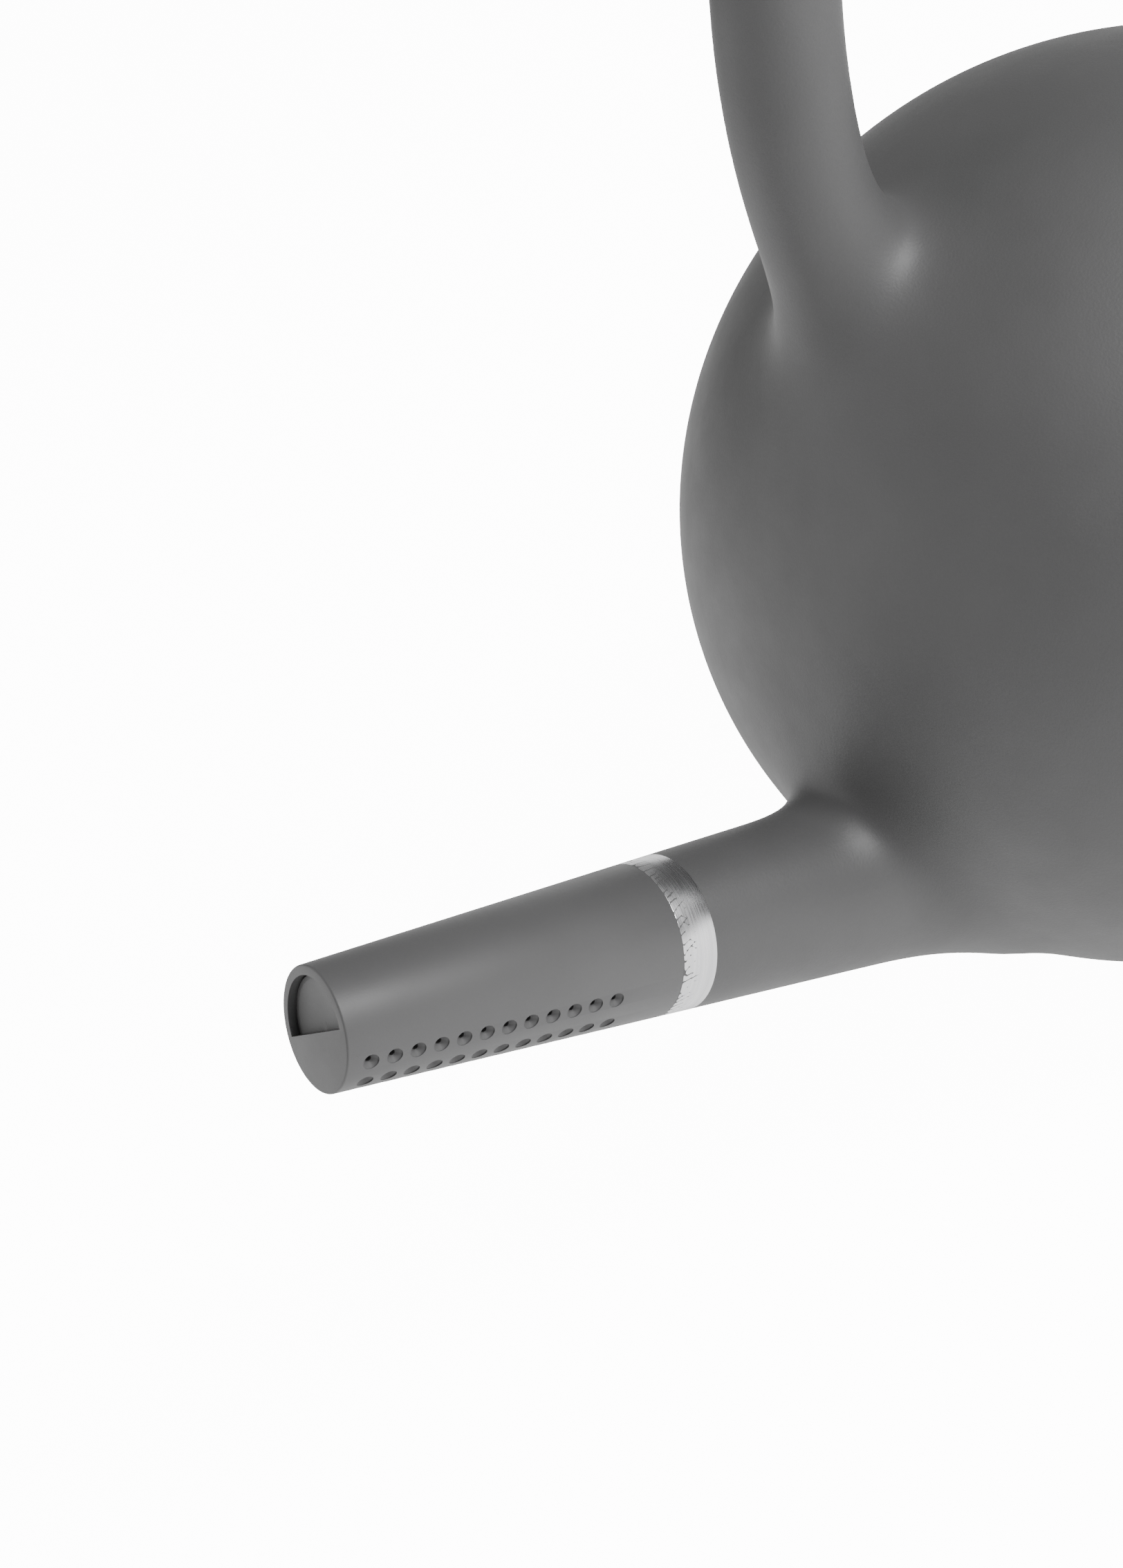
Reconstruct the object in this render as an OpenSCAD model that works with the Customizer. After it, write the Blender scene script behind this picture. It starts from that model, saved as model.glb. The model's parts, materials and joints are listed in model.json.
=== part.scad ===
// Ball-bodied garden watering can with a looped tubular handle, a straight tapered
// spout and a turning rose. Millimetres, +Z up, +X towards the spout.
// Origin: centre of the flat base, on the ground.

/* [Tank] */
// Outer radius of the ball-shaped tank
tank_r = 129; // [107:0.5:160]
// Height of the tank's centre above its flat base
base_drop = 108; // [85:1:114]
// Rounding between the ball and the flat base
base_round = 8; // [4:1:14]
// Wall thickness of the tank
tank_wall = 3; // [2:0.5:5]
// Clear radius of the filling mouth
mouth_r = 30; // [24:1:36]
// How far the mouth leans back from the vertical, in degrees
mouth_lean = 51; // [46:1:53]
// Radius of the rolled bead around the mouth
bead_r = 3; // [2:0.5:4]

/* [Handle] */
// Outer radius of the handle's tube
handle_r = 15.2; // [12.6:0.2:18.4]
// Wall thickness of the handle's tube
handle_wall = 3; // [2:0.5:5]
// Elevation on the tank where the handle's front end grows out, in degrees
handle_root = 64.6; // [60:0.2:70]
// Direction from the front arc's centre to the handle's front root, in degrees
handle_start = 1.8; // [-3:0.2:7]
// How much larger the handle's front arc is than the tank, measured on the tube's centreline
front_arc_over = 19; // [7:1:49]
// Direction from the front arc's centre to the point where the rear arc takes over
arc_change = 35; // [30:1:45]
// How much smaller the handle's rear arc is than the tank, measured on the tube's centreline
rear_arc_under = 7; // [-6:1:27]

/* [Spout] */
// Elevation of the spout's axis, in degrees
spout_angle = 35; // [30:1:40]
// Distance from the tank's centre to the spout's axis, which passes below it
spout_offset = 89.5; // [78:0.5:93]
// How much further the tip lies along the spout's axis than the tank's radius, measured
// from the axis's nearest point to the tank's centre
spout_out = 140.5; // [126:0.5:195]
// Growth of the radius per millimetre along the spout, ring and rose
taper = 0.05; // [0.04:0.005:0.06]
// Wall thickness at the spout's end
spout_wall = 2.4; // [2:0.1:3]
// Growth of the flared root's radius per millimetre
flare = 0.12; // [0.08:0.01:0.14]
// Place along the axis where the flared root starts, inside the ball
root_depth = 25; // [15:1:32]
// Length of plain spout between the socket's end and the flare
plain_len = 30; // [24:1:36]

/* [Rose] */
// How far the rose is turned about the spout's axis at rest, in degrees
rose_turned = 22.4; // [-26:0.2:26]
// Outer radius of the rose at its tip
tip_r = 15; // [13:0.5:17]
// Length of the rose from its tip to the steel ring
rose_len = 90.4; // [75:0.2:100]
// Wall thickness of the rose at its tip
rose_wall = 2.4; // [2:0.1:3]
// Thickness of the half wall that closes the tip
end_wall = 1.8; // [1.4:0.1:2.6]
// Drop of the half wall's straight edge below the rose's axis
ledge_drop = 0.9; // [0:0.1:3]
// Number of spray holes along each row
holes_along = 12; // [6:1:12]
// Distance between neighbouring holes of one row
hole_pitch = 5.94; // [5.2:0.02:6]
// Distance from the tip to the first hole
first_hole = 6; // [5.5:0.5:10]
// Number of rows around the underside
hole_rows = 5; // [1:2:5]
// Angle between neighbouring rows, in degrees
row_step = 25.5; // [20:0.5:30]
// Radius of a spray hole's outer recess
recess_r = 2; // [1.5:0.1:2.2]
// Depth of a spray hole's cone-shaped outer recess
recess_depth = 1.5; // [1:0.1:1.8]
// Depth of the straight wall at the mouth of a recess
recess_lip = 0.3; // [0.1:0.1:0.6]
// Radius of a spray hole
orifice_r = 0.75; // [0.5:0.05:1]

/* [Ring and coupling] */
// Width of the steel ring
ring_w = 10; // [6:0.5:14]
// Thickness of the steel ring at its front edge
ring_t = 1; // [0.8:0.1:1.4]
// Width of the open groove between the ring and the spout
groove_w = 1.1; // [0.6:0.1:2]
// Outer radius of the coupling's sleeve
sleeve_r = 16; // [15:0.1:16.2]
// Wall thickness of the coupling's sleeve
sleeve_wall = 3; // [2.6:0.1:3.4]
// Depth to which the coupling is pressed into the rose
seat_len = 12; // [8:1:14]
// Length of the socket bush pressed into the spout's end
bush_len = 30; // [24:1:36]
// Thickness of the bush's inner stop lip
lip_t = 2; // [1.5:0.5:3]
// How far the stop lip reaches in from the bush's bore
lip_in = 1.6; // [1:0.1:2.5]
// Radial running clearance between the sleeve and the bush
run_fit = 0.05; // [0.02:0.01:0.1]
// Gap between the sleeve's end and the stop lip
end_play = 0.1; // [0.05:0.05:0.3]
// Radius of a sealing ring's section
seal_r = 0.75; // [0.6:0.05:0.9]
// Gap between a sealing ring and the bush's bore
seal_fit = 0.02; // [0.01:0.01:0.05]
// Distance between the two sealing rings
seal_gap = 9; // [6:1:12]

/* [Diverter] */
// Outer radius of the diverter tube, which stays still inside the rose
diverter_r = 12.2; // [11.4:0.1:12.4]
// Wall thickness of the diverter tube
diverter_wall = 1.4; // [1:0.1:2]
// Thickness of the plate that shuts the outlet
plate_t = 2.6; // [2:0.1:3.2]
// Drop of the plate's straight edge below the axis, so it shuts the turned outlet too
plate_drop = 6; // [5:0.5:7]
// Gap between the plate and the rose's end wall
plate_gap = 0.3; // [0.3:0.1:0.8]
// Radius of the shallow dish in the plate's face
dish_r = 55; // [45:1:80]
// Thickness of the flange fixed behind the socket bush
flange_t = 2.5; // [2:0.5:4]

/* [Hidden] */
$fn = 96;
body_grey = "#3a3a3c";
cut = 1; // how far a cutting shape runs past the face it opens

// Where the steel ring, the groove and the spout start, along the spout's axis
front_arc_r = tank_r + front_arc_over;
rear_arc_r = tank_r - rear_arc_under;
spout_reach = tank_r + spout_out;
rose_back = spout_reach - rose_len;
ring_back = rose_back - ring_w;
spout_end = ring_back - groove_w;
bush_back = spout_end - bush_len;
sleeve_back = bush_back + lip_t + end_play;
flare_start = bush_back - plain_len;

// Outer radius of the tapered spout, ring and rose at a place along the axis
function radius_at(z) = tip_r + taper * (spout_reach - z);
bush_r = radius_at(spout_end) - spout_wall;
bush_bore = sleeve_r + run_fit;
sleeve_bore = sleeve_r - sleeve_wall;
collar_r = radius_at(rose_back) - ring_t;
seal_mid = bush_bore - seal_fit - seal_r;
inner_tip = spout_reach - end_wall;
seat_top = rose_back + seat_len;
plate_tip = inner_tip - plate_gap;

// The handle's two arcs lie in the plane of symmetry; the rear one starts where the
// front one ends, with the same direction
front_mid = tank_r * [cos(handle_root), sin(handle_root)]
    - front_arc_r * [cos(handle_start), sin(handle_start)];
rear_mid = front_mid + (front_arc_r - rear_arc_r) * [cos(arc_change), sin(arc_change)];
// Both ends start inside the tank, so the trimmed tube meets its wall all round
end_depth = handle_r + 3;
// Angle between an arc's centre and the point on it at a given distance from the tank's centre
function turn(mid, arc_r, dist) =
    acos((dist * dist - mid * mid - arc_r * arc_r) / (2 * norm(mid) * arc_r));
front_from = atan2(front_mid.y, front_mid.x) - turn(front_mid, front_arc_r, tank_r - end_depth);
rear_to = atan2(rear_mid.y, rear_mid.x) + turn(rear_mid, rear_arc_r, tank_r - end_depth);
bore_turn = 24;

bead_mid = mouth_r + bead_r;
bead_rise = sqrt(pow(tank_r - tank_wall / 2, 2) - bead_mid * bead_mid);

module at_tank() translate([0, 0, base_drop]) children();

// Local +Z runs along the spout to the tip, and local +X points to the spout's underside
module along_spout() at_tank() rotate([0, 90 - spout_angle, 0]) translate([spout_offset, 0, 0]) children();

// A tapered bar along the spout, between two places on its axis
module tapered(from, to, inset = 0)
    translate([0, 0, from]) cylinder(h = to - from, r1 = radius_at(from) - inset, r2 = radius_at(to) - inset);

module tube_at(from, to, r) translate([0, 0, from]) cylinder(h = to - from, r = r);

// The spout's root widens from flare_start down into the tank
module flared(inset = 0) {
    depth = flare_start - root_depth;
    translate([0, 0, root_depth]) cylinder(h = depth, r1 = radius_at(flare_start) + flare * depth - inset,
        r2 = radius_at(flare_start) - inset);
}

module arc(mid, arc_r, from, to)
    translate([mid.x, 0, mid.y]) rotate([90, 0, 0]) rotate([0, 0, from])
    rotate_extrude(angle = to - from) translate([arc_r, 0]) children();

module tube_section() difference() {
    circle(r = handle_r);
    circle(r = handle_r - handle_wall);
}

// The bore at each end of the handle, from inside the tank to just past its wall
module handle_bores() at_tank() {
    arc(front_mid, front_arc_r, front_from, front_from + bore_turn) circle(r = handle_r - handle_wall);
    arc(rear_mid, rear_arc_r, rear_to - bore_turn, rear_to) circle(r = handle_r - handle_wall);
}

module tank_form() {
    round_mid = sqrt(pow(tank_r - base_round, 2) - pow(base_drop - base_round, 2));
    meet_z = base_drop - (base_drop - base_round) * tank_r / (tank_r - base_round);
    difference() {
        at_tank() sphere(r = tank_r);
        translate([0, 0, meet_z - tank_r]) cube(2 * tank_r, center = true);
    }
    cylinder(h = 2 * base_round, r = round_mid);
    translate([0, 0, base_round]) rotate_extrude() translate([round_mid, 0]) circle(r = base_round);
}

module tank_hollow() difference() {
    at_tank() sphere(r = tank_r - tank_wall);
    translate([0, 0, tank_wall - tank_r]) cube(2 * tank_r, center = true);
}

module mouth() at_tank() rotate([0, -mouth_lean, 0]) children();

module tank() color(body_grey) {
    difference() {
        tank_form();
        tank_hollow();
        mouth() tube_at(tank_r / 2, tank_r + cut, bead_mid);
        along_spout() flared(spout_wall);
        handle_bores();
    }
    mouth() translate([0, 0, bead_rise]) rotate_extrude() translate([bead_mid, 0]) circle(r = bead_r);
}

module handle_front() color(body_grey) difference() {
    at_tank() arc(front_mid, front_arc_r, front_from, arc_change) tube_section();
    at_tank() sphere(r = tank_r);
}

module handle_rear() color(body_grey) difference() {
    at_tank() arc(rear_mid, rear_arc_r, arc_change, rear_to) tube_section();
    at_tank() sphere(r = tank_r);
}

module spout() color(body_grey) difference() {
    along_spout() {
        tapered(flare_start, spout_end);
        flared();
    }
    along_spout() {
        flared(spout_wall);
        tapered(flare_start, bush_back, spout_wall);
        tube_at(bush_back, spout_end + cut, bush_r);
    }
    at_tank() sphere(r = tank_r);
}

module socket_bush() color("#2c2c2e") along_spout() difference() {
    tube_at(bush_back, spout_end, bush_r);
    tube_at(bush_back + lip_t, spout_end + cut, bush_bore);
    tube_at(bush_back - cut, spout_end, bush_bore - lip_in);
}

// A still tube inside the rose: its dished plate shuts the outlet while the rose sprays, and
// its open underside feeds the spray holes. Half a turn of the rose swaps the two.
module diverter() color(body_grey) along_spout() difference() {
    union() {
        tube_at(bush_back - flange_t, bush_back, bush_r);
        tube_at(bush_back - flange_t, plate_tip, diverter_r);
    }
    tube_at(bush_back - flange_t - cut, plate_tip - plate_t, diverter_r - diverter_wall);
    translate([plate_drop, -bush_r, seat_top + end_wall]) cube([bush_r, 2 * bush_r, rose_len]);
    translate([0, 0, plate_tip + sqrt(dish_r * dish_r - pow(diverter_r - 1, 2))]) sphere(r = dish_r);
}

// Places of the two sealing rings along the axis
seal_places = [for (i = [0:1]) sleeve_back + bush_len / 4 + i * seal_gap];

module coupling() color("#2c2c2e") along_spout() difference() {
    union() {
        tube_at(sleeve_back, rose_back + seat_len, sleeve_r);
        tube_at(ring_back, rose_back, collar_r);
    }
    tube_at(sleeve_back - cut, rose_back + seat_len + cut, sleeve_bore);
    for (z = seal_places) difference() {
        tube_at(z - seal_r, z + seal_r, sleeve_r + cut);
        tube_at(z - seal_r - cut, z + seal_r + cut, seal_mid - seal_r);
    }
}

module sealing_rings() color("#161616") along_spout() for (z = seal_places)
    translate([0, 0, z]) rotate_extrude() translate([seal_mid, 0]) circle(r = seal_r);

module steel_ring() color("#c9cacc") along_spout() difference() {
    tapered(ring_back, rose_back);
    tube_at(ring_back - cut, rose_back + cut, collar_r);
}

// One stepped spray hole through the wall at a place on the axis, cut from the outside in
module spray_hole(z) {
    floor_x = -rose_wall - taper * (spout_reach - z) - cut;
    translate([0, 0, z]) rotate([0, 90, 0]) translate([0, 0, radius_at(z)]) rotate_extrude($fn = 24)
        polygon([[0, floor_x], [orifice_r, floor_x], [orifice_r, -recess_depth],
            [recess_r, -recess_lip], [recess_r, cut], [0, cut]]);
}

module rose() {
    color(body_grey) along_spout() rotate([0, 0, rose_turned]) difference() {
        tapered(rose_back, spout_reach);
        tube_at(rose_back - cut, seat_top, sleeve_r);
        translate([0, 0, seat_top - 0.01]) cylinder(h = inner_tip - seat_top + 0.01, r1 = sleeve_r,
            r2 = radius_at(inner_tip) - rose_wall);
        // The outlet is the upper part of a round opening, down to the ledge
        difference() {
            tube_at(inner_tip - cut, spout_reach + cut, tip_r - rose_wall);
            translate([ledge_drop, -tip_r, inner_tip - 2 * cut])
                cube([2 * tip_r, 2 * tip_r, end_wall + 4 * cut]);
        }
        for (row = [0:hole_rows - 1], i = [0:holes_along - 1])
            rotate([0, 0, (row - (hole_rows - 1) / 2) * row_step])
                spray_hole(spout_reach - first_hole - i * hole_pitch);
    }
}

tank();
handle_front();
handle_rear();
spout();
socket_bush();
diverter();
coupling();
sealing_rings();
steel_ring();
rose();
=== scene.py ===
"""Looks of a ball-bodied watering can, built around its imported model.

Metres, +Z up, +X towards the spout, origin at the centre of the flat base. The moulded
body becomes one skin with its blended roots, the rose and steel ring get their rounded
edges, and every piece gets a procedural finish.
"""

import json
import logging
import math
from contextlib import contextmanager
from dataclasses import dataclass, field
from enum import Enum
from typing import Callable, Iterator

import bmesh
import bpy
import numpy as np
from mathutils import Matrix, Vector

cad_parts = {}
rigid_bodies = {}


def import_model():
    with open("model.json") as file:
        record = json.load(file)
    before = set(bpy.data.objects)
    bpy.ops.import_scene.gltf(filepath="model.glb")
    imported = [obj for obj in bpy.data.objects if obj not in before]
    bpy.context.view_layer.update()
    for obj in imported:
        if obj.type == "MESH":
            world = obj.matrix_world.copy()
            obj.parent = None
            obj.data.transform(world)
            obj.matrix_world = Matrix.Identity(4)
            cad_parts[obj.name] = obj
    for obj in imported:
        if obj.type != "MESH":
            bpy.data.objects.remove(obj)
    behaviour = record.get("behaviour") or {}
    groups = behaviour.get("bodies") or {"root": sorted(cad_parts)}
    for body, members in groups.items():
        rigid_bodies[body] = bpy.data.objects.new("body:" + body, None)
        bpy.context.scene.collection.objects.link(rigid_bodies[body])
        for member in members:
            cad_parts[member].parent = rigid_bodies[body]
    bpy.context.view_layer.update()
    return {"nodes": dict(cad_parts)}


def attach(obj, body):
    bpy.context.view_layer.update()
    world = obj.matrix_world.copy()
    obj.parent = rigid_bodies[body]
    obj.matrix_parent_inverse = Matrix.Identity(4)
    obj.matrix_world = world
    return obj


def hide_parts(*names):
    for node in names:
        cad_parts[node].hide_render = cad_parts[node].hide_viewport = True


log = logging.getLogger("watering_can")

MM = 0.001


class Body(Enum):
    """The moving bodies of the can."""

    CAN = "can"
    ROSE_HEAD = "rose_head"


class Slot(Enum):
    """The record's material slot names; nothing here gives them to a piece."""

    BODY = "body_plastic"
    ROSE = "rose_plastic"
    STEEL = "steel"


# ---------------------------------------------------------------- helpers for shaping


def pick_only(piece: bpy.types.Object) -> None:
    """Deselects everything, then selects one piece and makes it active."""
    bpy.ops.object.select_all(action="DESELECT")
    piece.select_set(True)
    bpy.context.view_layer.objects.active = piece


@contextmanager
def editing(piece: bpy.types.Object, kind: str = "VERT") -> Iterator[bmesh.types.BMesh]:
    """Opens a piece in edit mode with nothing selected.

    Args:
        piece: The object to edit.
        kind: Selection mode, "VERT", "EDGE" or "FACE".

    Returns:
        The mesh under edit.
    """
    pick_only(piece)
    bpy.ops.object.mode_set(mode="EDIT")
    bpy.ops.mesh.select_mode(type=kind)
    bpy.ops.mesh.select_all(action="DESELECT")
    try:
        yield bmesh.from_edit_mesh(piece.data)
    finally:
        bpy.ops.object.mode_set(mode="OBJECT")


def join_pieces(pieces: list[bpy.types.Object], name: str) -> bpy.types.Object:
    """Joins several meshes into the first one.

    Args:
        pieces: The objects to join.
        name: The joined object's new name.

    Returns:
        The joined object.
    """
    pick_only(pieces[0])
    for piece in pieces[1:]:
        piece.select_set(True)
    bpy.ops.object.join()
    pieces[0].name = name
    return pieces[0]


def settle_place(piece: bpy.types.Object) -> None:
    """Applies the object's place, turn and scale to its mesh."""
    pick_only(piece)
    bpy.ops.object.transform_apply(location=True, rotation=True, scale=True)


def use_modifier(piece: bpy.types.Object, kind: str, **settings: object) -> None:
    """Adds a modifier, sets it up and applies it at once.

    Args:
        piece: The object to change.
        kind: The modifier's type name.
        **settings: Values set on the modifier.
    """
    pick_only(piece)
    modifier = piece.modifiers.new(kind.lower(), kind)
    for name, value in settings.items():
        setattr(modifier, name, value)
    bpy.ops.object.modifier_apply(modifier=modifier.name)


def smooth_faces(piece: bpy.types.Object, angle: float = 35) -> None:
    """Shades a piece smooth wherever its faces meet below an angle in degrees."""
    pick_only(piece)
    bpy.ops.object.shade_smooth_by_angle(angle=math.radians(angle))


# ---------------------------------------------------------------- sizes shared by the pieces


@dataclass(frozen=True)
class SpoutLine:
    """The straight axis shared by the spout, ring and rose.

    Places along it are measured from its nearest point to the tank's centre.
    """

    tank_height: float = 108 * MM
    tilt: float = math.radians(35)
    offset: float = 89.5 * MM
    tip: float = 269.5 * MM
    tip_radius: float = 15 * MM
    taper: float = 0.05
    rose_length: float = 90.4 * MM
    ring_width: float = 10 * MM
    groove: float = 1.1 * MM

    @property
    def direction(self) -> Vector:
        """The direction to the tip."""
        return Vector((math.cos(self.tilt), 0, math.sin(self.tilt)))

    @property
    def upward(self) -> Vector:
        """The direction square to the axis, in the plane of symmetry, to its upper side."""
        return Vector((-math.sin(self.tilt), 0, math.cos(self.tilt)))

    @property
    def rose_back(self) -> float:
        """Place where the rose meets the steel ring."""
        return self.tip - self.rose_length

    @property
    def ring_back(self) -> float:
        """Place of the steel ring's rear face."""
        return self.rose_back - self.ring_width

    @property
    def spout_end(self) -> float:
        """Place of the moulded spout's end face."""
        return self.ring_back - self.groove

    def point(self, along: float, up: float = 0.0, side: float = 0.0) -> Vector:
        """Gives a point near the axis.

        Args:
            along: Place along the axis.
            up: Distance from the axis to its upper side.
            side: Distance from the plane of symmetry.

        Returns:
            The point in the can's frame.
        """
        centre = Vector((0, 0, self.tank_height))
        return centre + self.direction * along + self.upward * (up - self.offset) + Vector((0, side, 0))

    def radius(self, along: float) -> float:
        """Outer radius of the tapered line at a place along the axis."""
        return self.tip_radius + self.taper * (self.tip - along)

    def split(self, points: np.ndarray) -> tuple[np.ndarray, np.ndarray, np.ndarray]:
        """Turns points into places along the axis, heights over it and sideways distances.

        Args:
            points: Rows of x, y, z.

        Returns:
            The along, up and side columns.
        """
        away = points - np.array(self.point(0.0))
        return away @ np.array(self.direction), away @ np.array(self.upward), away[:, 1]


LINE = SpoutLine()


@dataclass(frozen=True)
class HandleArcs:
    """The two arcs of the tubular handle, in the plane of symmetry."""

    tank_radius: float = 129 * MM
    tube_radius: float = 15.2 * MM
    root: float = math.radians(64.6)
    start: float = math.radians(1.8)
    front_radius: float = 148 * MM
    change: float = math.radians(35)
    rear_radius: float = 122 * MM

    @property
    def front_mid(self) -> np.ndarray:
        """Centre of the front arc, as x and height over the tank's centre."""
        foot = self.tank_radius * np.array([math.cos(self.root), math.sin(self.root)])
        return foot - self.front_radius * np.array([math.cos(self.start), math.sin(self.start)])

    @property
    def rear_mid(self) -> np.ndarray:
        """Centre of the rear arc, as x and height over the tank's centre."""
        turn = np.array([math.cos(self.change), math.sin(self.change)])
        return self.front_mid + (self.front_radius - self.rear_radius) * turn

    def _turn(self, mid: np.ndarray, radius: float) -> float:
        """Angle from an arc's centre line to where it is one tube deep inside the tank."""
        depth = self.tank_radius - self.tube_radius - 3 * MM
        far = float(np.hypot(*mid))
        return math.acos((depth**2 - far**2 - radius**2) / (2 * far * radius))

    @property
    def front_from(self) -> float:
        """Angle at which the front arc starts, inside the tank."""
        mid = self.front_mid
        return math.atan2(mid[1], mid[0]) - self._turn(mid, self.front_radius)

    @property
    def rear_to(self) -> float:
        """Angle at which the rear arc ends, inside the tank."""
        mid = self.rear_mid
        return math.atan2(mid[1], mid[0]) + self._turn(mid, self.rear_radius)

    def distance(self, points: np.ndarray, height: float) -> np.ndarray:
        """Distance of points from the handle's skin.

        Args:
            points: Rows of x, y, z.
            height: Height of the tank's centre.

        Returns:
            Signed distances, negative inside the tube.
        """
        nearest = np.full(len(points), np.inf)
        for mid, radius, low, high in (
            (self.front_mid, self.front_radius, self.front_from, self.change),
            (self.rear_mid, self.rear_radius, self.change, self.rear_to),
        ):
            x = points[:, 0] - mid[0]
            z = points[:, 2] - height - mid[1]
            middle = (low + high) / 2
            angle = np.arctan2(z, x) - middle
            angle = (angle + np.pi) % (2 * np.pi) - np.pi
            angle = middle + np.clip(angle, low - middle, high - middle)
            across = x - radius * np.cos(angle)
            rise = z - radius * np.sin(angle)
            gap = np.sqrt(across**2 + rise**2 + points[:, 1] ** 2)
            nearest = np.minimum(nearest, gap - self.tube_radius)
        return nearest


def blended(first: np.ndarray, second: np.ndarray, width: float) -> np.ndarray:
    """Joins two distance fields with a fillet.

    Args:
        first: Distances to the first form.
        second: Distances to the second form.
        width: How far from the crease the fillet starts.

    Returns:
        Distances to the blended form.
    """
    near = np.maximum(width - np.abs(first - second), 0) / width
    return np.minimum(first, second) - near**3 * width / 6


@dataclass(frozen=True)
class BodyForm:
    """The moulded body as one smooth form: ball, spout root and handle with their fillets."""

    inset: float = 0.0
    spout_inset: float = 0.0
    with_handle: bool = True
    base_round: float = 8 * MM
    spout_fillet: float = 28 * MM
    handle_fillet: float = 32 * MM
    spout_depth: float = 62.6 * MM
    handle: HandleArcs = field(default_factory=HandleArcs)

    def distance(self, points: np.ndarray) -> np.ndarray:
        """Signed distance of points from the form.

        Args:
            points: Rows of x, y, z.

        Returns:
            Distances, negative inside.
        """
        height = LINE.tank_height
        away = np.linalg.norm(points - np.array([0, 0, height]), axis=1)
        ball = away - self.handle.tank_radius + self.inset
        below = self.inset - points[:, 2]
        edge = self.base_round
        over = np.hypot(np.maximum(ball + edge, 0), np.maximum(below + edge, 0))
        ball = np.minimum(np.maximum(ball, below) + edge, 0) + over - edge
        along, up, side = LINE.split(points)
        away = np.hypot(up, side)
        cone = away - (LINE.tip_radius + LINE.taper * (LINE.tip - along)) + self.spout_inset
        end_radius = LINE.radius(self.spout_depth) - self.spout_inset
        capped = np.hypot(np.maximum(away - end_radius, 0), self.spout_depth - along)
        cone = np.where(along < self.spout_depth, capped, cone)
        form = blended(ball, cone, self.spout_fillet)
        if self.with_handle:
            form = blended(form, self.handle.distance(points, height), self.handle_fillet)
        return form

    def draw_onto(self, piece: bpy.types.Object, passes: int = 5) -> None:
        """Slides every vertex of a piece straight onto the form.

        Args:
            piece: The object whose vertices move.
            passes: How many times the step is repeated.
        """
        step = 0.05 * MM
        points = np.empty(len(piece.data.vertices) * 3)
        piece.data.vertices.foreach_get("co", points)
        points = points.reshape(-1, 3)
        for _ in range(passes):
            slope = np.empty_like(points)
            for axis in range(3):
                shift = np.zeros(3)
                shift[axis] = step
                slope[:, axis] = self.distance(points + shift) - self.distance(points - shift)
            slope /= np.maximum(np.linalg.norm(slope, axis=1, keepdims=True), 1e-12)
            points -= self.distance(points)[:, None] * slope
        piece.data.vertices.foreach_set("co", points.ravel())
        piece.data.update()


# ---------------------------------------------------------------- the moulded body


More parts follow.
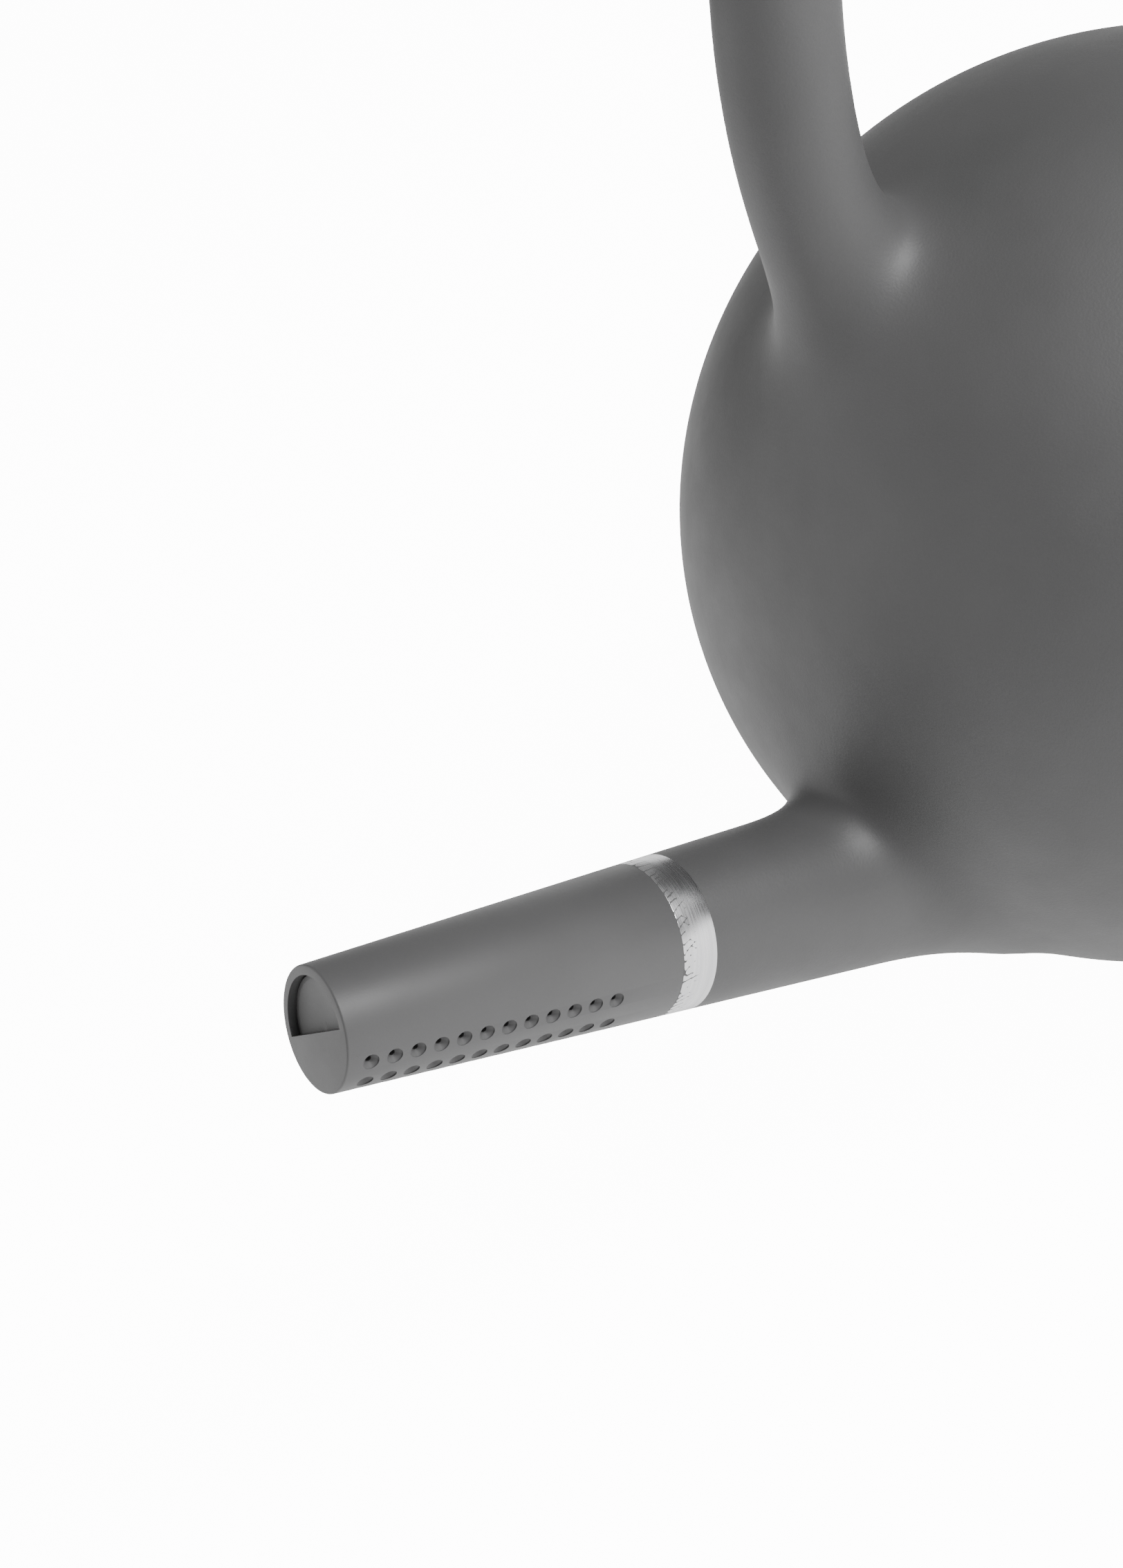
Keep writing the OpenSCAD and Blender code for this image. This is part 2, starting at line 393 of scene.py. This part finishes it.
@dataclass
class MouldedBody:
    """The one-piece body: ball tank, handle and spout, with its mouth's bead and inner skin."""

    handle: HandleArcs = field(default_factory=HandleArcs)
    wall: float = 3 * MM
    spout_wall: float = 2.4 * MM
    mouth_lean: float = math.radians(51)
    mouth_radius: float = 30 * MM
    bead_radius: float = 3 * MM
    bush_length: float = 30 * MM
    outer_grain: float = 2.4 * MM
    inner_grain: float = 4.2 * MM
    end_round: float = 0.5 * MM

    @property
    def centre(self) -> Vector:
        """The ball's centre."""
        return Vector((0, 0, LINE.tank_height))

    @property
    def mouth_axis(self) -> Vector:
        """The direction in which the mouth faces."""
        return Vector((-math.sin(self.mouth_lean), 0, math.cos(self.mouth_lean)))

    @property
    def bead_mid(self) -> float:
        """Radius of the bead's centre line."""
        return self.mouth_radius + self.bead_radius

    def _ball(self, inset: float) -> bpy.types.Object:
        """Adds the ball, its flat base cut by a plane.

        Args:
            inset: How far inside the outer wall the ball lies.

        Returns:
            The closed ball.
        """
        bpy.ops.object.select_all(action="DESELECT")
        bpy.ops.mesh.primitive_uv_sphere_add(
            segments=128, ring_count=64, radius=self.handle.tank_radius - inset, location=self.centre
        )
        ball = bpy.context.object
        settle_place(ball)
        with editing(ball):
            bpy.ops.mesh.select_all(action="SELECT")
            bpy.ops.mesh.bisect(plane_co=(0, 0, inset), plane_no=(0, 0, 1), clear_inner=True, use_fill=True)
        return ball

    def _spout(self, inset: float) -> bpy.types.Object:
        """Adds the tapered spout, from inside the ball to past its end.

        Args:
            inset: How far inside the outer skin it lies.

        Returns:
            The closed cone.
        """
        low, high = 62 * MM, LINE.spout_end + 12 * MM
        bpy.ops.object.select_all(action="DESELECT")
        bpy.ops.mesh.primitive_cone_add(
            vertices=96,
            radius1=LINE.radius(low) - inset,
            radius2=LINE.radius(high) - inset,
            depth=high - low,
            location=LINE.point((low + high) / 2),
            rotation=(0, math.pi / 2 - LINE.tilt, 0),
        )
        spout = bpy.context.object
        settle_place(spout)
        return spout

    def _handle_tube(self) -> bpy.types.Object:
        """Spins the handle's tube through its two arcs.

        Returns:
            The closed tube, both ends inside the ball.
        """
        arcs = self.handle
        mid = arcs.front_mid
        start = arcs.front_from
        x = mid[0] + arcs.front_radius * math.cos(start)
        z = mid[1] + arcs.front_radius * math.sin(start) + LINE.tank_height
        bpy.ops.object.select_all(action="DESELECT")
        bpy.ops.mesh.primitive_circle_add(
            vertices=48, radius=arcs.tube_radius, location=(x, 0, z), rotation=(0, -start, 0)
        )
        tube = bpy.context.object
        settle_place(tube)
        with editing(tube, "EDGE"):
            bpy.ops.mesh.select_all(action="SELECT")
            for mid, turn, steps in (
                (arcs.front_mid, arcs.change - arcs.front_from, 24),
                (arcs.rear_mid, arcs.rear_to - arcs.change, 64),
            ):
                bpy.ops.mesh.spin(
                    steps=steps, angle=turn, center=(mid[0], 0, mid[1] + LINE.tank_height), axis=(0, 1, 0)
                )
            bpy.ops.mesh.select_all(action="SELECT")
            bpy.ops.mesh.remove_doubles(threshold=0.01 * MM)
            bpy.ops.mesh.fill_holes(sides=0)
            bpy.ops.mesh.select_all(action="SELECT")
            bpy.ops.mesh.normals_make_consistent(inside=False)
        return tube

    def _cut_mouth(self, skin: bpy.types.Object, radius: float) -> None:
        """Means to cut the round mouth through one skin, and so far leaves it closed.

        Known fault: the change to face mode drops the selection, so bisect is cancelled.

        Args:
            skin: The skin to open.
            radius: The ball's radius at that skin.
        """
        rise = math.sqrt(radius**2 - self.bead_mid**2)
        reach = radius + 6 * MM
        with editing(skin) as mesh:
            for vert in mesh.verts:
                away = vert.co - self.centre
                height = away.dot(self.mouth_axis)
                vert.select = away.length < reach and height > rise - 20 * MM
            bpy.ops.mesh.select_mode(type="FACE")
            plane = self.centre + self.mouth_axis * rise
            bpy.ops.mesh.bisect(plane_co=plane, plane_no=self.mouth_axis, clear_outer=True)

    def _cut_spout(self, skin: bpy.types.Object, along: float) -> None:
        """Means to cut the spout square at a place along its axis.

        Known fault: as in _cut_mouth, bisect is cancelled and the skin stays closed.

        Args:
            skin: The skin to cut.
            along: The place along the spout's axis.
        """
        with editing(skin) as mesh:
            for vert in mesh.verts:
                away = vert.co - LINE.point(along)
                vert.select = away.length < 45 * MM
            bpy.ops.mesh.select_mode(type="FACE")
            bpy.ops.mesh.bisect(plane_co=LINE.point(along), plane_no=LINE.direction, clear_outer=True)

    def _select_rim(self, mesh: bmesh.types.BMesh, test: Callable[[Vector], bool]) -> None:
        """Selects the open edges whose ends all pass a test."""
        for edge in mesh.edges:
            edge.select = edge.is_boundary and all(test(vert.co) for vert in edge.verts)
        mesh.select_flush_mode()

    def _finish_end(self, skin: bpy.types.Object) -> None:
        """Draws the spout's rim out to its end face and back down its socket.

        It has no rim to work on while _cut_spout leaves the skin closed.

        Args:
            skin: The outer skin, meant to be cut short of the end by _cut_spout, which leaves it closed.
        """
        end, radius = LINE.spout_end, LINE.radius(LINE.spout_end)
        bore = radius - self.spout_wall + 0.03 * MM
        soft = self.end_round
        bends = [math.radians(angle) for angle in (0, 22.5, 45, 67.5, 90)]
        outline = [
            (end - soft + soft * math.sin(bend), radius - soft + soft * math.cos(bend)) for bend in bends
        ]
        inner = [(end - soft * (1 - math.cos(bend)), bore + soft * (1 - math.sin(bend))) for bend in bends]
        outline += inner + [(end - 10 * MM, bore), (end - self.bush_length, bore)]
        with editing(skin, "EDGE") as mesh:
            self._select_rim(mesh, lambda co: (co - self.centre).dot(LINE.direction) > end - 12 * MM)
            for along, reach in outline:
                bpy.ops.mesh.extrude_edges_move(TRANSFORM_OT_translate={"value": (0, 0, 0)})
                mesh = bmesh.from_edit_mesh(skin.data)
                for vert in mesh.verts:
                    if vert.select:
                        spread = vert.co - LINE.point(0)
                        spread -= LINE.direction * spread.dot(LINE.direction)
                        vert.co = LINE.point(along) + spread.normalized() * reach
                bmesh.update_edit_mesh(skin.data)

    def _skin(self, form: BodyForm, inset: float, spout_inset: float, grain: float) -> bpy.types.Object:
        """Makes one closed skin and settles it on its form.

        Args:
            form: The form that the skin follows.
            inset: How far the ball lies inside the outer wall.
            spout_inset: How far the spout lies inside its outer wall.
            grain: Size of the skin's faces.

        Returns:
            The skin.
        """
        masses = [self._ball(inset), self._spout(spout_inset)]
        if form.with_handle:
            masses.append(self._handle_tube())
        skin = join_pieces(masses, "body_skin")
        use_modifier(skin, "REMESH", mode="VOXEL", voxel_size=grain, adaptivity=0.0)
        form.draw_onto(skin, passes=6)
        for _ in range(2):
            with editing(skin):
                bpy.ops.mesh.select_all(action="SELECT")
                bpy.ops.mesh.vertices_smooth(factor=0.5, repeat=3)
            form.draw_onto(skin, passes=4)
        return skin

    def build(self) -> bpy.types.Object:
        """Builds the body's outer and inner skins and the rolled bead of its mouth.

        Both skins are still closed at the mouth and the spout's end, so nothing joins them.

        Returns:
            The finished body.
        """
        radius = self.handle.tank_radius
        outer = self._skin(BodyForm(), 0.0, 0.0, self.outer_grain)
        self._cut_mouth(outer, radius)
        self._cut_spout(outer, LINE.spout_end - 6 * MM)
        self._finish_end(outer)
        inside = BodyForm(inset=self.wall, spout_inset=self.spout_wall, with_handle=False)
        inner = self._skin(inside, self.wall, self.spout_wall, self.inner_grain)
        self._cut_mouth(inner, radius - self.wall)
        self._cut_spout(inner, LINE.spout_end - self.bush_length)
        with editing(inner):
            bpy.ops.mesh.select_all(action="SELECT")
            bpy.ops.mesh.flip_normals()
        body = join_pieces([outer, inner], "moulded_body")
        for test in (
            lambda co: (co - self.centre).dot(self.mouth_axis) > radius - 40 * MM and co.x < 60 * MM,
            lambda co: (co - self.centre).dot(LINE.direction) > LINE.spout_end - 45 * MM,
        ):
            with editing(body, "EDGE") as mesh:
                self._select_rim(mesh, test)
                bpy.ops.mesh.bridge_edge_loops()
        with editing(body):
            bpy.ops.mesh.select_all(action="SELECT")
            bpy.ops.mesh.normals_make_consistent(inside=False)
        body = join_pieces([body, self._bead()], "moulded_body")
        smooth_faces(body, 40)
        return body

    def _bead(self) -> bpy.types.Object:
        """Adds the rolled bead around the mouth.

        Returns:
            The bead.
        """
        middle = self.handle.tank_radius - self.wall / 2
        rise = math.sqrt(middle**2 - self.bead_mid**2)
        bpy.ops.object.select_all(action="DESELECT")
        bpy.ops.mesh.primitive_torus_add(
            major_radius=self.bead_mid,
            minor_radius=self.bead_radius,
            major_segments=144,
            minor_segments=28,
            location=self.centre + self.mouth_axis * rise,
            rotation=(0, -self.mouth_lean, 0),
        )
        bead = bpy.context.object
        settle_place(bead)
        return bead


# ---------------------------------------------------------------- the rose head


def lathed(outline: list[tuple[float, float]], name: str, steps: int = 192) -> bpy.types.Object:
    """Spins a closed outline about the spout's axis.

    Args:
        outline: Pairs of place along the axis and radius, in order round the section.
        name: The new object's name.
        steps: Number of steps round the axis.

    Returns:
        The closed piece.
    """
    bpy.ops.object.select_all(action="DESELECT")
    bpy.ops.mesh.primitive_circle_add(vertices=len(outline), radius=1 * MM, location=(0, 0, 0))
    piece = bpy.context.object
    piece.name = name
    settle_place(piece)
    with editing(piece, "EDGE") as mesh:
        mesh.verts.ensure_lookup_table()
        for vert, (along, radius) in zip(mesh.verts, outline):
            vert.co = LINE.point(along, up=radius)
        bmesh.update_edit_mesh(piece.data)
        bpy.ops.mesh.select_all(action="SELECT")
        bpy.ops.mesh.spin(steps=steps, angle=2 * math.pi, center=LINE.point(0), axis=LINE.direction)
        bpy.ops.mesh.select_all(action="SELECT")
        bpy.ops.mesh.remove_doubles(threshold=0.005 * MM)
        bpy.ops.mesh.normals_make_consistent(inside=False)
    return piece


@dataclass
class SteelRing:
    """The brushed steel band between the rose and the spout."""

    thickness: float = 1 * MM
    edge: float = 0.18 * MM

    def build(self) -> bpy.types.Object:
        """Lathes the band with small rounded edges.

        Returns:
            The finished ring.
        """
        back, front = LINE.ring_back, LINE.rose_back
        inner = LINE.radius(front) - self.thickness
        soft = self.edge
        outline = [(back, inner), (front, inner)]
        for bend in (90, 67.5, 45, 22.5, 0):
            turn = math.radians(bend)
            reach = LINE.radius(front) - soft + soft * math.cos(turn)
            outline.append((front - soft + soft * math.sin(turn), reach))
        for bend in (0, 22.5, 45, 67.5, 90):
            turn = math.radians(bend)
            reach = LINE.radius(back) - soft + soft * math.cos(turn)
            outline.append((back + soft - soft * math.sin(turn), reach))
        ring = lathed(outline, "brushed_ring", 256)
        smooth_faces(ring, 30)
        return ring


@dataclass
class Rose:
    """The turning rose with its spray holes, half end wall and outlet."""

    wall: float = 2.4 * MM
    end_wall: float = 1.8 * MM
    ledge_drop: float = 0.9 * MM
    seat_length: float = 12 * MM
    sleeve_radius: float = 16 * MM
    turned: float = math.radians(22.4)
    rim_round: float = 0.5 * MM
    back_round: float = 0.15 * MM
    rows: int = 5
    row_step: float = math.radians(25.5)
    holes_along: int = 12
    pitch: float = 5.94 * MM
    first_hole: float = 6 * MM
    recess_radius: float = 2 * MM
    recess_lip: float = 0.3 * MM
    recess_depth: float = 1.5 * MM
    orifice_radius: float = 0.75 * MM

    def _shell(self) -> bpy.types.Object:
        """Lathes the rose as a cup, its end still closed.

        Returns:
            The closed shell.
        """
        tip, back = LINE.tip, LINE.rose_back
        inner_tip = tip - self.end_wall
        outline = [(tip, 0.0)]
        for bend in (90, 67.5, 45, 22.5, 0):
            turn = math.radians(bend)
            along = tip - self.rim_round * (1 - math.sin(turn))
            outline.append((along, LINE.radius(tip) - self.rim_round * (1 - math.cos(turn))))
        for bend in (0, 45, 90):
            turn = math.radians(bend)
            along = back + self.back_round * (1 - math.sin(turn))
            outline.append((along, LINE.radius(back) - self.back_round * (1 - math.cos(turn))))
        outline += [(back, self.sleeve_radius), (back + self.seat_length, self.sleeve_radius)]
        outline += [(inner_tip, LINE.radius(inner_tip) - self.wall), (inner_tip, 0.0)]
        return lathed(outline, "shower_rose")

    def _under(self, angle: float) -> Vector:
        """Gives the direction out of the underside, turned about the axis by an angle."""
        return LINE.upward * -math.cos(angle) + Vector((0, math.sin(angle), 0))

    def _hole_cutter(self) -> bpy.types.Object:
        """Shapes one stepped cutter by drawing a circle down through the wall.

        Returns:
            The cutter, pointing down its own -Z from the outer skin.
        """
        over = 1 * MM
        bpy.ops.object.select_all(action="DESELECT")
        bpy.ops.mesh.primitive_circle_add(
            vertices=32, radius=self.recess_radius, location=(0, 0, over), fill_type="NGON"
        )
        cutter = bpy.context.object
        settle_place(cutter)
        steps = (
            (-self.recess_lip, self.recess_radius),
            (-self.recess_depth, self.orifice_radius),
            (-self.wall - 3 * MM, self.orifice_radius),
        )
        with editing(cutter, "FACE"):
            bpy.ops.mesh.select_all(action="SELECT")
            for height, radius in steps:
                bpy.ops.mesh.extrude_region_move(TRANSFORM_OT_translate={"value": (0, 0, 0)})
                mesh = bmesh.from_edit_mesh(cutter.data)
                for vert in mesh.verts:
                    if vert.select:
                        flat = Vector((vert.co.x, vert.co.y, 0)).normalized() * radius
                        vert.co = Vector((flat.x, flat.y, height))
                bmesh.update_edit_mesh(cutter.data)
            bpy.ops.mesh.select_all(action="SELECT")
            bpy.ops.mesh.normals_make_consistent(inside=False)
        return cutter

    def _all_holes(self) -> bpy.types.Object:
        """Copies the cutter to every spray hole.

        Returns:
            The joined cutters.
        """
        first = self._hole_cutter()
        cutters = []
        for row in range(self.rows):
            out = self._under(self.turned + (row - (self.rows - 1) / 2) * self.row_step)
            for step in range(self.holes_along):
                along = LINE.tip - self.first_hole - step * self.pitch
                foot = LINE.point(along) + out * LINE.radius(along)
                turn = Matrix((LINE.direction.cross(out), -LINE.direction, out)).transposed().to_4x4()
                cutter = first.copy()
                cutter.data = first.data.copy()
                bpy.context.collection.objects.link(cutter)
                cutter.data.transform(Matrix.Translation(foot) @ turn)
                cutters.append(cutter)
        bpy.data.objects.remove(first)
        holes = join_pieces(cutters, "spray_hole_cutters")
        with editing(holes):
            bpy.ops.mesh.select_all(action="SELECT")
            bpy.ops.mesh.normals_make_consistent(inside=False)
        return holes

    def _outlet(self) -> bpy.types.Object:
        """Shapes the cutter for the outlet, a round bar cut flat at the ledge.

        Returns:
            The cutter.
        """
        length = self.end_wall + 2 * MM
        bpy.ops.object.select_all(action="DESELECT")
        bpy.ops.mesh.primitive_cylinder_add(
            vertices=192,
            radius=LINE.tip_radius - self.wall,
            depth=length,
            location=LINE.point(LINE.tip - self.end_wall / 2),
            rotation=(0, math.pi / 2 - LINE.tilt, 0),
        )
        outlet = bpy.context.object
        settle_place(outlet)
        out = self._under(self.turned)
        with editing(outlet):
            bpy.ops.mesh.select_all(action="SELECT")
            bpy.ops.mesh.bisect(
                plane_co=LINE.point(LINE.tip) + out * self.ledge_drop,
                plane_no=out,
                clear_outer=True,
                use_fill=True,
            )
        return outlet

    def build(self) -> bpy.types.Object:
        """Builds the rose: a lathed cup, then its outlet and spray holes.

        Returns:
            The finished rose.
        """
        rose = self._shell()
        for cutter in (self._outlet(), self._all_holes()):
            use_modifier(rose, "BOOLEAN", operation="DIFFERENCE", solver="EXACT", object=cutter)
            bpy.data.objects.remove(cutter)
        smooth_faces(rose, 30)
        return rose


# ---------------------------------------------------------------- finishes


@dataclass(frozen=True)
class Tree:
    """A small wrapper round one material's node tree."""

    material: bpy.types.Material

    @classmethod
    def start(cls, name: str) -> "Tree":
        """Makes a new material with only its Principled shader and output."""
        material = bpy.data.materials.new(name)
        material.use_nodes = True
        return cls(material)

    @property
    def shader(self) -> bpy.types.Node:
        """The Principled shader."""
        return self.material.node_tree.nodes["Principled BSDF"]

    def add(self, kind: str, **settings: object) -> bpy.types.Node:
        """Adds a node.

        Args:
            kind: The node's type name, without its ShaderNode start.
            **settings: Properties set on the node.

        Returns:
            The node.
        """
        node = self.material.node_tree.nodes.new("ShaderNode" + kind)
        for name, value in settings.items():
            setattr(node, name, value)
        return node

    def link(self, source: bpy.types.NodeSocket, target: bpy.types.NodeSocket) -> None:
        """Links an output to an input."""
        self.material.node_tree.links.new(source, target)

    def place(self) -> bpy.types.NodeSocket:
        """Gives the piece's own coordinates."""
        return self.add("TexCoord").outputs["Object"]

    def noise(
        self, scale: float, detail: float = 2.0, place: bpy.types.NodeSocket | None = None
    ) -> bpy.types.NodeSocket:
        """Adds a noise pattern.

        Args:
            scale: Repeats per metre.
            detail: Number of finer octaves.
            place: Coordinates, or the piece's own ones.

        Returns:
            The pattern's value.
        """
        node = self.add("TexNoise")
        node.inputs["Scale"].default_value = scale
        node.inputs["Detail"].default_value = detail
        self.link(place or self.place(), node.inputs["Vector"])
        return node.outputs["Fac"]

    def spread(self, source: bpy.types.NodeSocket, low: float, high: float) -> bpy.types.NodeSocket:
        """Maps a pattern's middle range to another range.

        Args:
            source: The pattern.
            low: Value at the pattern's low end.
            high: Value at the pattern's high end.

        Returns:
            The mapped value.
        """
        node = self.add("MapRange")
        node.inputs["From Min"].default_value = 0.3
        node.inputs["From Max"].default_value = 0.7
        node.inputs["To Min"].default_value = low
        node.inputs["To Max"].default_value = high
        self.link(source, node.inputs["Value"])
        return node.outputs["Result"]

    def tones(
        self,
        source: bpy.types.NodeSocket,
        dark: tuple[float, float, float],
        light: tuple[float, float, float],
    ) -> None:
        """Colours the surface between two tones by a pattern."""
        node = self.add("ValToRGB")
        node.color_ramp.elements[0].color = (*dark, 1)
        node.color_ramp.elements[1].color = (*light, 1)
        node.color_ramp.elements[0].position = 0.3
        node.color_ramp.elements[1].position = 0.7
        self.link(source, node.inputs["Fac"])
        self.link(node.outputs["Color"], self.shader.inputs["Base Color"])

    def relief(
        self, source: bpy.types.NodeSocket, depth: float, under: bpy.types.Node | None = None
    ) -> bpy.types.Node:
        """Adds a relief to the surface.

        Args:
            source: The height pattern.
            depth: The pattern's height.
            under: An earlier relief that this one lies on.

        Returns:
            The relief's node.
        """
        node = self.add("Bump")
        node.inputs["Strength"].default_value = 1.0
        node.inputs["Distance"].default_value = depth
        self.link(source, node.inputs["Height"])
        if under is not None:
            self.link(under.outputs["Normal"], node.inputs["Normal"])
        return node


@dataclass(frozen=True)
class MouldedPlastic:
    """Satin plastic with a fine moulded grain."""

    name: str
    tone: float
    roughness: float
    grain: float
    grain_depth: float
    specular: float = 0.5

    def material(self) -> bpy.types.Material:
        """Builds the material.

        Returns:
            The new material.
        """
        tree = Tree.start(self.name)
        cloud = tree.noise(22, 4)
        dark, light = self.tone * 0.93, self.tone * 1.07
        tree.tones(cloud, (dark, dark, dark * 1.01), (light, light, light * 1.01))
        rubbed = tree.noise(60, 5)
        sheen = tree.spread(rubbed, self.roughness - 0.035, self.roughness + 0.035)
        tree.link(sheen, tree.shader.inputs["Roughness"])
        tree.shader.inputs["Specular IOR Level"].default_value = self.specular
        soft = tree.relief(tree.noise(140, 2), self.grain_depth * 1.5)
        fine = tree.relief(tree.noise(self.grain, 3), self.grain_depth, soft)
        tree.link(fine.outputs["Normal"], tree.shader.inputs["Normal"])
        return tree.material


@dataclass(frozen=True)
class BrushedSteel:
    """Steel brushed round the ring."""

    name: str = "steel brushed round the ring"

    def material(self) -> bpy.types.Material:
        """Builds the material.

        Returns:
            The new material.
        """
        tree = Tree.start(self.name)
        turn = tree.add("Mapping", vector_type="TEXTURE")
        turn.inputs["Location"].default_value = LINE.point(0)
        turn.inputs["Rotation"].default_value = (0, math.pi / 2 - LINE.tilt, 0)
        tree.link(tree.place(), turn.inputs["Vector"])
        parts = tree.add("SeparateXYZ")
        tree.link(turn.outputs["Vector"], parts.inputs["Vector"])
        angle = tree.add("Math", operation="ARCTAN2")
        tree.link(parts.outputs["Y"], angle.inputs[0])
        tree.link(parts.outputs["X"], angle.inputs[1])
        strokes = tree.add("CombineXYZ")
        round_way = tree.add("Math", operation="MULTIPLY")
        round_way.inputs[1].default_value = 0.0004
        tree.link(angle.outputs[0], round_way.inputs[0])
        tree.link(round_way.outputs[0], strokes.inputs["X"])
        tree.link(parts.outputs["Z"], strokes.inputs["Y"])
        fine = tree.noise(5200, 3, strokes.outputs["Vector"])
        broad = tree.noise(1100, 2, strokes.outputs["Vector"])
        tree.tones(broad, (0.62, 0.62, 0.63), (0.74, 0.74, 0.75))
        tree.shader.inputs["Metallic"].default_value = 1.0
        tree.link(tree.spread(fine, 0.2, 0.34), tree.shader.inputs["Roughness"])
        brushed = tree.relief(fine, 0.001 * MM)
        tree.link(brushed.outputs["Normal"], tree.shader.inputs["Normal"])
        return tree.material


def dress(piece: bpy.types.Object, material: bpy.types.Material) -> None:
    """Puts one material on every face of a piece.

    Args:
        piece: The piece to dress.
        material: The material.
    """
    piece.data.materials.clear()
    piece.data.materials.append(material)
    for face in piece.data.polygons:
        face.material_index = 0


# ---------------------------------------------------------------- studio


@dataclass
class Studio:
    """Camera, soft lights and the pale floor."""

    eye: tuple[float, float, float] = (0.33132, 0.38634, 0.45446)
    across: tuple[float, float, float] = (-0.65690, 0.57728, -0.48501)
    upward: tuple[float, float, float] = (-0.69681, -0.21911, 0.68297)
    lens: float = 47.62
    floor_glow: float = 0.9
    floor_seen: float = 12.0

    def camera(self) -> bpy.types.Object:
        """Adds the camera and makes it the scene's own.

        Returns:
            The camera.
        """
        data = bpy.data.cameras.new("camera")
        data.lens = self.lens
        data.sensor_width = 36
        data.clip_start = 0.01
        camera = bpy.data.objects.new("camera", data)
        bpy.context.scene.collection.objects.link(camera)
        right = Vector(self.across).normalized()
        up = Vector(self.upward)
        up = (up - right * up.dot(right)).normalized()
        back = right.cross(up)
        turn = Matrix((right, up, back)).transposed().to_4x4()
        camera.matrix_world = Matrix.Translation(self.eye) @ turn
        bpy.context.scene.camera = camera
        return camera

    def light(
        self, name: str, side: float, rise: float, near: float, distance: float, size: float, power: float
    ) -> None:
        """Adds a soft light, placed as the camera sees it.

        Args:
            name: The light's name.
            side: Its direction to the camera's right.
            rise: Its direction to the camera's top.
            near: Its direction towards the camera.
            distance: Its distance from the middle of the can.
            size: The side of its square panel.
            power: Its power in watts.
        """
        right = Vector(self.across).normalized()
        up = Vector(self.upward).normalized()
        back = right.cross(up)
        middle = Vector((0.06, 0, 0.18))
        way = (right * side + up * rise + back * near).normalized()
        data = bpy.data.lights.new(name, "AREA")
        data.shape = "SQUARE"
        data.size = size
        data.energy = power
        lamp = bpy.data.objects.new(name, data)
        bpy.context.scene.collection.objects.link(lamp)
        lamp.location = middle + way * distance
        lamp.rotation_euler = (-way).to_track_quat("-Z", "Y").to_euler()

    def floor(self) -> bpy.types.Object:
        """Adds the plain pale floor.

        Returns:
            The floor.
        """
        bpy.ops.object.select_all(action="DESELECT")
        bpy.ops.mesh.primitive_plane_add(size=30, location=(0, 0, 0))
        floor = bpy.context.object
        floor.name = "floor"
        tree = Tree.start("pale floor")
        tree.shader.inputs["Base Color"].default_value = (0.9, 0.9, 0.9, 1)
        tree.shader.inputs["Roughness"].default_value = 0.9
        tree.shader.inputs["Emission Color"].default_value = (1, 1, 1, 1)
        seen = tree.add("LightPath")
        glow = tree.add("Math", operation="MULTIPLY_ADD")
        glow.inputs[1].default_value = self.floor_seen
        glow.inputs[2].default_value = self.floor_glow
        tree.link(seen.outputs["Is Camera Ray"], glow.inputs[0])
        tree.link(glow.outputs[0], tree.shader.inputs["Emission Strength"])
        dress(floor, tree.material)
        return floor

    def world(self, strength: float) -> None:
        """Sets an even soft surround."""
        world = bpy.data.worlds.new("surround")
        world.use_nodes = True
        background = world.node_tree.nodes["Background"]
        background.inputs["Color"].default_value = (1, 1, 1, 1)
        background.inputs["Strength"].default_value = strength
        bpy.context.scene.world = world

    def build(self) -> None:
        """Sets up the camera, floor and lights."""
        self.camera()
        self.floor()
        self.light("left_panel", -1.0, -0.1, -0.1, 1.3, 1.4, 8)
        self.light("front_panel", 0.35, 0.52, 0.78, 1.3, 0.32, 19)
        self.world(0.33)


# ---------------------------------------------------------------- building order


def main() -> None:
    """Builds the can piece by piece, then its studio."""
    logging.basicConfig(level=logging.INFO, format="%(name)s: %(message)s")
    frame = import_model()
    nodes = frame["nodes"]
    body_plastic = MouldedPlastic("moulded body plastic", 0.078, 0.52, 1500, 0.05 * MM).material()
    rose_plastic = MouldedPlastic("moulded rose plastic", 0.088, 0.5, 2400, 0.02 * MM).material()
    inner_plastic = MouldedPlastic("black inner plastic", 0.035, 0.4, 2400, 0.01 * MM).material()
    seal_rubber = MouldedPlastic("seal rubber", 0.02, 0.6, 3000, 0.01 * MM, 0.35).material()
    steel = BrushedSteel().material()

    body = MouldedBody().build()
    dress(body, body_plastic)
    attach(body, Body.CAN.value)
    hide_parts("tank", "handle_front", "handle_rear", "spout")
    log.info("moulded body: %d faces", len(body.data.polygons))

    ring = SteelRing().build()
    dress(ring, steel)
    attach(ring, Body.ROSE_HEAD.value)
    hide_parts("steel_ring")
    log.info("steel ring: %d faces", len(ring.data.polygons))

    rose = Rose().build()
    dress(rose, rose_plastic)
    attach(rose, Body.ROSE_HEAD.value)
    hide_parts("rose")
    log.info("rose: %d faces", len(rose.data.polygons))

    finishes = (
        ("diverter", rose_plastic),
        ("socket_bush", inner_plastic),
        ("coupling", inner_plastic),
        ("sealing_rings", seal_rubber),
    )
    for name, material in finishes:
        dress(nodes[name], material)
        log.info("%s: finish only", name)

    Studio().build()


if __name__ == "__main__":
    main()
